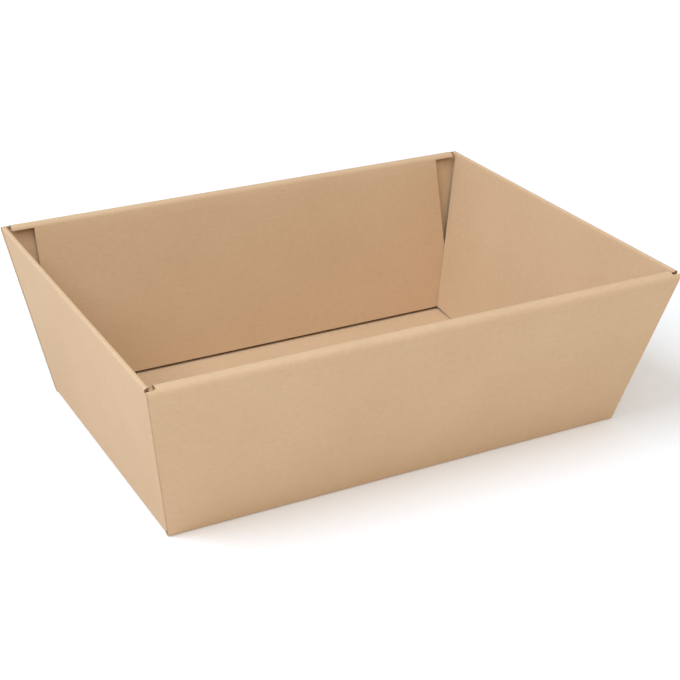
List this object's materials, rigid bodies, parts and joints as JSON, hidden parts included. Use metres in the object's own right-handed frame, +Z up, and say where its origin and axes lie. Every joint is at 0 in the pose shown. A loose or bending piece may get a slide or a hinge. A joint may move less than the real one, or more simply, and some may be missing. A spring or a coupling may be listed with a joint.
{
  "type": "cardboard tray box",
  "caption": "Open folded cardboard tray box with flared walls, rolled-over rims and tucked corner flaps, for packing or showing goods.",
  "frame": {"origin": "middle of the underside, on the surface that the tray stands on", "axes": "+X along the tray's long side, +Y across it towards a long wall, +Z up out of the open top"},
  "size_m": [0.3394, 0.2596, 0.109],
  "materials": {
    "kraft_board": "matt unbleached kraft paper"
  },
  "bodies": {
    "root": {"folded_tray": "kraft_board"}
  },
  "joints": []
}
